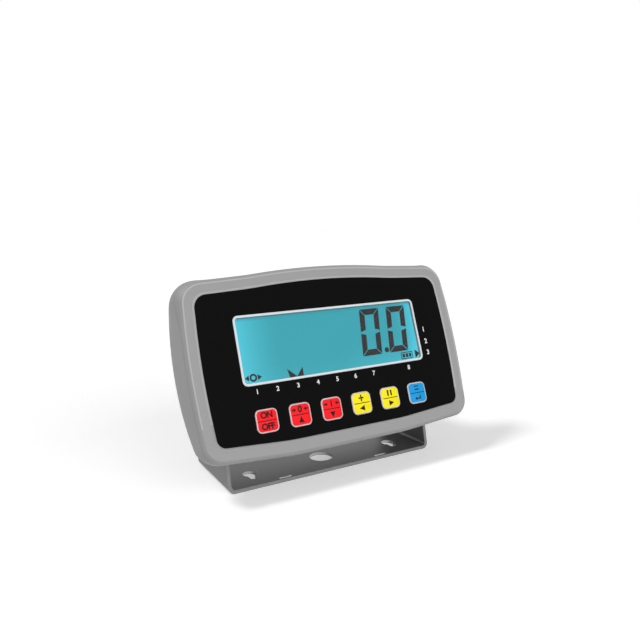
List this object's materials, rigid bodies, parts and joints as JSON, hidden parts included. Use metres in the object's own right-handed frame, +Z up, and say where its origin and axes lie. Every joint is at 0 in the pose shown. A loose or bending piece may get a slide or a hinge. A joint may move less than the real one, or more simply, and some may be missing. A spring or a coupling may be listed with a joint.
{
  "type": "weighing indicator",
  "caption": "Weighing scale indicator: grey moulded head with a wide cyan LCD and six coloured keys, tilting in a bent steel bracket on two clamp knobs.",
  "frame": {"origin": "axis of the centre hole of the bracket, at the underside of its base plate", "axes": "+X to the right as the reader faces the display, +Y towards the back, +Z up"},
  "size_m": [0.187, 0.0927, 0.1268],
  "materials": {
    "bracket_steel": "satin grey coated sheet steel",
    "housing_grey": "light grey moulded plastic, finely textured",
    "seal_rubber": "black soft rubber",
    "film_black": "black printed polyester film, smooth satin",
    "window_clear": "clear film window",
    "lcd_cyan": "backlit liquid crystal cell, cyan",
    "light_guide": "clear white light guide",
    "white_plastic": "white moulded plastic",
    "board_green": "green laminate with solder mask",
    "block_green": "green terminal plastic",
    "black_plastic": "black moulded plastic",
    "zinc_steel": "zinc plated steel",
    "battery_case": "dark grey battery case",
    "pad_foam": "grey cellular foam",
    "nickel": "nickel plated shell",
    "brass": "turned brass",
    "key_red": "red printed key, smooth",
    "key_yellow": "yellow printed key, smooth",
    "key_blue": "blue printed key, smooth",
    "stem_plastic": "off-white switch plunger"
  },
  "bodies": {
    "bracket": {"bracket": "bracket_steel"},
    "head": {"front_cover": "housing_grey", "rear_cover": "housing_grey", "cover_gasket": "seal_rubber", "keypad_overlay": "film_black", "display_window": "window_clear", "lcd_glass": "lcd_cyan", "lcd_backlight": "light_guide", "lcd_holder": "white_plastic", "main_board": "board_green", "switch_bodies": "black_plastic", "buzzer": "black_plastic", "processor": "black_plastic", "terminal_blocks": "block_green", "board_screws": "zinc_steel", "cover_screws": "zinc_steel", "battery": "battery_case", "battery_pads": "pad_foam", "battery_door": "housing_grey", "door_screws": "zinc_steel", "load_cell_socket": "nickel", "serial_port": "nickel", "serial_jackscrews": "zinc_steel", "power_jack": "black_plastic", "pivot_inserts": "brass", "pivot_washers": "seal_rubber"},
    "power_button": {"power_key": "key_red", "power_stem": "stem_plastic"},
    "zero_button": {"zero_key": "key_red", "zero_stem": "stem_plastic"},
    "tare_button": {"tare_key": "key_red", "tare_stem": "stem_plastic"},
    "memory_button": {"memory_key": "key_yellow", "memory_stem": "stem_plastic"},
    "hold_button": {"hold_key": "key_yellow", "hold_stem": "stem_plastic"},
    "enter_button": {"enter_key": "key_blue", "enter_stem": "stem_plastic"},
    "left_clamp": {"left_knob": "black_plastic", "left_stud": "zinc_steel"},
    "right_clamp": {"right_knob": "black_plastic", "right_stud": "zinc_steel"}
  },
  "joints": [
    {"name": "tilt", "type": "hinge", "parent": "bracket", "child": "head", "pos_m": [0, 0.019, 0.064], "axis": [-1, 0, 0], "range_deg": [-4, 70]},
    {"name": "power_press", "type": "slide", "parent": "head", "child": "power_button", "axis": [0, 0.9426, -0.3338], "range_m": [0, 0.0005], "stiffness_N_per_m": 1500},
    {"name": "zero_press", "type": "slide", "parent": "head", "child": "zero_button", "axis": [0, 0.9426, -0.3338], "range_m": [0, 0.0005], "stiffness_N_per_m": 1500},
    {"name": "tare_press", "type": "slide", "parent": "head", "child": "tare_button", "axis": [0, 0.9426, -0.3338], "range_m": [0, 0.0005], "stiffness_N_per_m": 1500},
    {"name": "memory_press", "type": "slide", "parent": "head", "child": "memory_button", "axis": [0, 0.9426, -0.3338], "range_m": [0, 0.0005], "stiffness_N_per_m": 1500},
    {"name": "hold_press", "type": "slide", "parent": "head", "child": "hold_button", "axis": [0, 0.9426, -0.3338], "range_m": [0, 0.0005], "stiffness_N_per_m": 1500},
    {"name": "enter_press", "type": "slide", "parent": "head", "child": "enter_button", "axis": [0, 0.9426, -0.3338], "range_m": [0, 0.0005], "stiffness_N_per_m": 1500},
    {"name": "left_clamp_turn", "type": "hinge", "parent": "head", "child": "left_clamp", "pos_m": [-0.072, 0.019, 0.064], "axis": [-1, 0, 0], "continuous": true},
    {"name": "right_clamp_turn", "type": "hinge", "parent": "head", "child": "right_clamp", "pos_m": [0.072, 0.019, 0.064], "axis": [1, 0, 0], "continuous": true}
  ]
}
